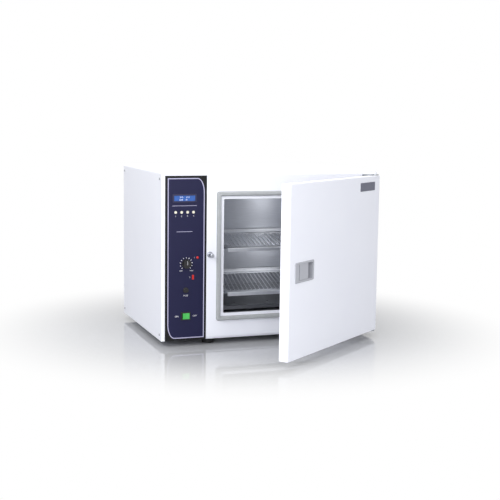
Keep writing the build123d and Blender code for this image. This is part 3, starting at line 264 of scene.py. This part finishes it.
# The control panel. A black anodised plate carries a navy polyester overlay, printed on
# its back, so the colour lies under a fine velvet texture.
blast_size, velvet_size = 0.001, 0.0008
anodised, tree, shader, place = begin("black_anodised_aluminium")
shader.inputs["Metallic"].default_value = 0.6
blast = add(tree, "ShaderNodeTexNoise", Vector=place, Scale=1 / blast_size, Detail=2.0)
tone = add(tree, "ShaderNodeMix", {"data_type": "RGBA"}, i0=blast.outputs[0],
           i6=linear("#121213"), i7=linear("#222224"))
tree.links.new(tone.outputs[2], shader.inputs["Base Color"])
shader.inputs["Roughness"].default_value = 0.45
dress(anodised, "control_plate")

membrane, tree, shader, place = begin("printed_polyester_film")
velvet = add(tree, "ShaderNodeTexNoise", Vector=place, Scale=1 / velvet_size, Detail=2.0)
tone = add(tree, "ShaderNodeMix", {"data_type": "RGBA"}, i0=velvet.outputs[0],
           i6=linear("#101135"), i7=linear("#16173e"))
tree.links.new(tone.outputs[2], shader.inputs["Base Color"])
shader.inputs["Roughness"].default_value = 0.5
shader.inputs["Specular IOR Level"].default_value = 0.3
dress(membrane, "panel_overlay")


# The controls, the handle and the electronics. ABS where the hand and the eye meet it, nylon
# where it carries load or heat. Both take a fine spark grain from the mould.
def moulded(name, dark, light, grain_mm, roughness):
    """A moulded plastic: two close tones and the tool's spark grain, whose size is given in mm."""
    material, tree, shader, place = begin(name)
    spark = add(tree, "ShaderNodeTexNoise", Vector=place, Scale=1000 / grain_mm, Detail=2.0)
    tone = add(tree, "ShaderNodeMix", {"data_type": "RGBA"}, i0=spark.outputs[0],
               i6=linear(dark), i7=linear(light))
    tree.links.new(tone.outputs[2], shader.inputs["Base Color"])
    shader.inputs["Roughness"].default_value = roughness
    bump = add(tree, "ShaderNodeBump", Strength=0.2, Distance=0.00005, Height=spark.outputs[0])
    tree.links.new(bump.outputs[0], shader.inputs["Normal"])
    return material


dress(moulded("grey_ABS", "#a9abb3", "#b6b8c0", 0.8, 0.45), "handle_housing", "handle_paddle")
dress(moulded("black_nylon", "#101011", "#1d1d1f", 0.8, 0.4), "thermostat_knob", "fuse_holder", "fuse_cap",
      "power_switch", "power_inlet", "latch_case", "solid_state_relay")
dress(moulded("navy_ABS", "#1c1c3c", "#26264a", 0.8, 0.4), "display_bezel")
dress(moulded("cream_ABS", "#ddd9c8", "#e8e5d6", 0.8, 0.35),
      "panel_button_1", "panel_button_2", "panel_button_3", "panel_button_4")
dress(moulded("natural_nylon", "#ddd9cc", "#ebe8dd", 1.5, 0.5),
      "hinge_bushes", "panel_standoffs", "limit_thermostat")

# The boards' laminate, the lenses, the glass and the satin plate are made up in the same way.
dress(moulded("green_circuit_board", "#175c30", "#1f7a41", 2.0, 0.35),
      "display_module", "button_board", "control_board")
dress(moulded("red_lens", "#b01512", "#d2231c", 2.0, 0.2), "round_lamp", "heating_lamp")
dress(moulded("green_lens", "#3fae4b", "#58c866", 2.0, 0.2), "power_rocker")
dress(moulded("lit_display", "#2a539f", "#3b66b2", 2.0, 0.2), "display_window")
dress(moulded("fuse_glass", "#c8d2d6", "#dde6ea", 2.0, 0.1), "fuse_link")
dress(moulded("satin_aluminium", "#55576a", "#666879", 0.5, 0.35), "nameplate")


# The overlay's print. Lavender and white inks are screen printed on the film: a line round
# its edge, a scale round the knob and plain words and numbers beside the controls.
film_low, film_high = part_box("panel_overlay")
film_y = film_low[1]
ink_lift = 0.0001
ink_thickness = ink_lift / 2


def piece(name, points, faces, material, body, thickness):
    """A new sheet at the origin, thickened towards its back, in its material, riding on a body."""
    mesh = bpy.data.meshes.new(name)
    mesh.from_pydata(np.asarray(points).tolist(), [], faces)
    mesh.materials.append(material)
    made = bpy.data.objects.new(name, mesh)
    bpy.context.scene.collection.objects.link(made)
    wall = made.modifiers.new("wall", "SOLIDIFY")
    wall.thickness = thickness
    wall.offset = -1.0
    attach(made, body)
    return made


def film_edge(inset, corner_width=0.022, corner_height=0.044, steps=16):
    """The film's outline moved in by inset, clockwise: x = x1 - a + a sin t, z = z1 - b + b cos t on the
    upper right corner, the same turned half round on the lower left one, and two square corners."""
    a = corner_width - inset
    b = corner_height - inset
    x0, x1 = film_low[0] + inset, film_high[0] - inset
    z0, z1 = film_low[2] + inset, film_high[2] - inset
    t = np.linspace(0.0, math.pi / 2, steps)
    upper = np.stack((x1 - a + a * np.sin(t), z1 - b + b * np.cos(t)), axis=1)
    lower = np.stack((x0 + a - a * np.sin(t), z0 + b - b * np.cos(t)), axis=1)
    return np.concatenate((upper, [[x1, z0]], lower, [[x0, z1]]))


def on_film(flat):
    """Points given as x and z, laid on the film's front."""
    return np.stack((flat[:, 0], np.full(len(flat), film_y - ink_lift), flat[:, 1]), axis=1)


lavender_ink = moulded("lavender_screen_ink", "#aeaccb", "#bdbbd8", 0.5, 0.45)
white_ink = moulded("white_screen_ink", "#dcdce6", "#eeeef4", 0.5, 0.45)
line_margin, line_width = 0.0004, 0.0026
outer = film_edge(line_margin)
inner = film_edge(line_margin + line_width)
count = len(outer)
ring = [(i, i + count, (i + 1) % count + count, (i + 1) % count) for i in range(count)]
piece("overlay_border", on_film(np.concatenate((outer, inner))), ring, lavender_ink, "cabinet",
      ink_thickness)


def bars(centres, along, length, width):
    """Flat bars on the film: centre + s along + t across, with s and t at plus and minus one half."""
    across_bar = np.stack((-along[:, 1], along[:, 0]), axis=1)
    signs = ((-0.5, -0.5), (0.5, -0.5), (0.5, 0.5), (-0.5, 0.5))
    sides = [centres + s * length * along + t * width * across_bar for s, t in signs]
    points = np.stack(sides, axis=1).reshape(-1, 2)
    return points, [tuple(range(4 * i, 4 * i + 4)) for i in range(len(centres))]


# The knob's scale: ticks that point outwards over its 270 degrees of turn.
tick_count, tick_radius, tick_length, tick_width = 11, 0.0182, 0.0034, 0.0017
knob_low, knob_high = (np.array(corner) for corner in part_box("thermostat_knob"))
knob_middle = (knob_low + knob_high) / 2
tick_angles = np.radians(np.linspace(-135.0, 135.0, tick_count))
outwards = np.stack((np.sin(tick_angles), np.cos(tick_angles)), axis=1)
tick_centres = knob_middle[[0, 2]] + tick_radius * outwards
ticks, tick_faces = bars(tick_centres, outwards, tick_length, tick_width)
piece("knob_scale", on_film(ticks), tick_faces, white_ink, "cabinet", ink_thickness)


def words(name, text, size, x, z, material, y=film_y - ink_lift):
    """Letters of a text outline, made a mesh and then stood up on the film, centred on x, based at z."""
    curve = bpy.data.curves.new(name, "FONT")
    curve.body = text
    curve.size = size
    curve.align_x = "CENTER"
    mesh = bpy.data.meshes.new_from_object(bpy.data.objects.new(name, curve))
    flat = np.empty(3 * len(mesh.vertices))
    mesh.vertices.foreach_get("co", flat)
    flat = flat.reshape(-1, 3)
    stood = np.stack((x + flat[:, 0], np.full(len(flat), y), z + flat[:, 1]), axis=1)
    faces = [tuple(face.vertices) for face in mesh.polygons]
    piece(name, stood, faces, material, "cabinet", ink_thickness)


def middle(node):
    """The middle of a node's box."""
    return (np.array(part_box(node)[0]) + np.array(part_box(node)[1])) / 2


# Each word has its type size and its place, right of and above its control's middle, in metres.
for name, text, size, control, right, up in (
    ("button_number_1", "1", 0.0062, "panel_button_1", 0.0, -0.0132),
    ("button_number_2", "2", 0.0062, "panel_button_2", 0.0, -0.0132),
    ("button_number_3", "3", 0.0062, "panel_button_3", 0.0, -0.0132),
    ("button_number_4", "4", 0.0062, "panel_button_4", 0.0, -0.0132),
    ("label_on", "ON", 0.0068, "power_switch", -0.0275, -0.0022),
    ("label_off", "OFF", 0.0068, "power_switch", 0.0285, -0.0022),
    ("label_fuse", "FUSE", 0.0068, "fuse_holder", 0.0, -0.0185),
    ("label_minimum", "MIN", 0.0052, "thermostat_knob", -0.0165, -0.0225),
    ("label_maximum", "MAX", 0.0052, "thermostat_knob", 0.0165, -0.0225),
    ("label_lamp_1", "1", 0.0060, "round_lamp", -0.0095, -0.002),
    ("label_lamp_2", "2", 0.0060, "heating_lamp", -0.0095, -0.002),
):
    spot = middle(control)
    words(name, text, size, spot[0] + right, spot[2] + up, white_ink)

# Two rules under the display, at these distances below its window's middle.
rule_width = 0.0012
window = middle("display_window")
for name, drop, length in (("overlay_rule_upper", 0.022, 0.074), ("overlay_rule_lower", 0.0985, 0.048)):
    centre = np.array([[window[0], window[2] - drop]])
    rule, rule_faces = bars(centre, np.array([[1.0, 0.0]]), length, rule_width)
    piece(name, on_film(rule), rule_faces, lavender_ink, "cabinet", ink_thickness)


# The display. White figures light up on the blue window in two lines. They are drawn as
# outlines on its front, and each line is set from the window's middle.
digit_height = 0.0058
digits = moulded("lit_segments", "#dfeaff", "#f4f8ff", 1.0, 0.3)
glass_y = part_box("display_window")[0][1] - ink_lift
words("display_upper_line", "37.0      37.0", digit_height, window[0], window[2] + 0.0010,
      digits, glass_y)
words("display_lower_line", "12:00     01", digit_height, window[0] - 0.004, window[2] - 0.0066,
      digits, glass_y)

# The knob's pointer line: white paint in the rib, from just below the knob's middle upwards.
line_half, line_start, line_end = 0.0004, -0.002, 0.0098
rib = np.array([[-line_half, line_start], [line_half, line_start],
                [line_half, line_end], [-line_half, line_end]])
rib = rib + knob_middle[[0, 2]]
rib = np.stack((rib[:, 0], np.full(4, knob_low[1] - ink_lift), rib[:, 1]), axis=1)
piece("knob_pointer_line", rib, [(0, 1, 2, 3)], white_ink, "limit_knob", ink_thickness)


# The two shelves. Flattened expanded stainless mesh in one sheet with its rims, its front lip
# bent down and its rear lip bent up round the press brake's small radius.
wear_size = 0.015
polished, tree, shader, place = begin("bright_stainless_sheet")
shader.inputs["Metallic"].default_value = 1.0
wear = add(tree, "ShaderNodeTexNoise", Vector=place, Scale=1 / wear_size, Detail=3.0)
tone = add(tree, "ShaderNodeMix", {"data_type": "RGBA"}, i0=wear.outputs[0],
           i6=linear("#dddfe4"), i7=linear("#eff1f5"))
tree.links.new(tone.outputs[2], shader.inputs["Base Color"])
rough = add(tree, "ShaderNodeMapRange", Value=wear.outputs[0], To_Min=0.30, To_Max=0.44)
tree.links.new(rough.outputs[0], shader.inputs["Roughness"])


def mesh_shelf(name, node, body):
    """Sheet S(u, v) = (x(u), path(v)): the path climbs the front lip, bends by y = y0 + r (1 - cos t),
    z = top - r (1 - sin t), runs back along the plate and bends up into the rear lip. The plate's field
    is a lattice of diamonds, centred where i + j is even, each with a smaller diamond as its opening."""
    low, high = (np.array(corner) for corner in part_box(node))

    # The sheet's thickness, its bends' radius, the plain border, a strand, and half a diamond.
    thickness, bend, border, strand = 0.0015, 0.0025, 0.009, 0.0022
    half = np.array((0.0068, 0.0270))
    bend_points = 5
    top = (low[2] + high[2]) / 2
    span = high[:2] - low[:2] - 2 * border
    columns, rows = 2 * (span / (2 * half)).astype(int)
    start = (low[:2] + high[:2]) / 2 - np.array((columns, rows)) * half / 2
    i, j = np.meshgrid(np.arange(columns + 1), np.arange(rows + 1), indexing="ij")
    centres = np.stack((i, j), axis=-1)[(i + j) % 2 == 0]
    around = np.array(((1, 0), (0, 1), (-1, 0), (0, -1)))

    # The opening's half diagonals are this share of the diamond's, which leaves half a strand
    # between its side and the diamond's.
    opening = 1.0 - strand / 2 / (half.prod() / np.linalg.norm(half))
    strands = []
    for k in range(4):
        out, side = around[k], around[(k + 1) % 4]
        a, b = centres + out, centres + side
        within = ((np.minimum(a, b) >= 0) & (np.maximum(a, b) <= (columns, rows))).all(axis=1)
        quad = np.stack((a, b, centres + opening * side, centres + opening * out), axis=1)
        strands.append(quad[within])

    def stops(count):
        """Where the diamonds' corners and openings meet the field's edge, in lattice steps."""
        even = np.arange(0, count + 1, 2)[:, None] + np.array((-opening, opening))
        every = np.concatenate(((0, count), np.arange(1, count, 2), even.ravel()))
        return np.unique(every[(every >= 0) & (every <= count)])

    xs = np.concatenate(([low[0]], start[0] + stops(columns) * half[0], [high[0]]))
    near, far = start[1], start[1] + rows * half[1]
    ys = start[1] + stops(rows) * half[1]
    ys = np.stack((ys, np.full(len(ys), top)), axis=1)
    t = np.linspace(0.0, math.pi / 2, bend_points)
    front_bend = np.stack((low[1] + bend * (1 - np.cos(t)), top - bend * (1 - np.sin(t))), axis=1)
    rear_bend = np.stack((high[1] - bend * (1 - np.sin(t)), top + bend * (1 - np.cos(t))), axis=1)
    front_path = np.concatenate(([[low[1], low[2]]], front_bend, [[near, top]]))
    rear_path = np.concatenate(([[far, top]], rear_bend, [[high[1], high[2]]]))

    def strip(across_x, path):
        """Quads between neighbouring columns and neighbouring points of the path."""
        grid = np.empty((len(path), len(across_x), 3))
        grid[..., 0] = across_x
        grid[..., 1:] = path[:, None]
        cells = np.stack((grid[:-1, :-1], grid[:-1, 1:], grid[1:, 1:], grid[1:, :-1]), axis=2)
        return cells.reshape(-1, 4, 3)

    def lifted(flat):
        """Lattice places on the plate's top."""
        place = start + np.asarray(flat, dtype=float) * half
        return np.concatenate((place, np.full((*place.shape[:-1], 1), top)), axis=-1)

    rims = [strip(xs, front_path), strip(xs, rear_path), strip(xs[:2], ys), strip(xs[-2:], ys)]
    quads = np.concatenate([*rims, lifted(np.concatenate(strands))])
    points, index = np.unique(np.round(quads.reshape(-1, 3), 6), axis=0, return_inverse=True)
    shelf = piece(name, points, index.reshape(-1, 4).tolist(), polished, body, thickness)
    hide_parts(node)


mesh_shelf("shelf_upper_mesh", "upper_shelf", "top_shelf")
mesh_shelf("shelf_lower_mesh", "lower_shelf", "bottom_shelf")
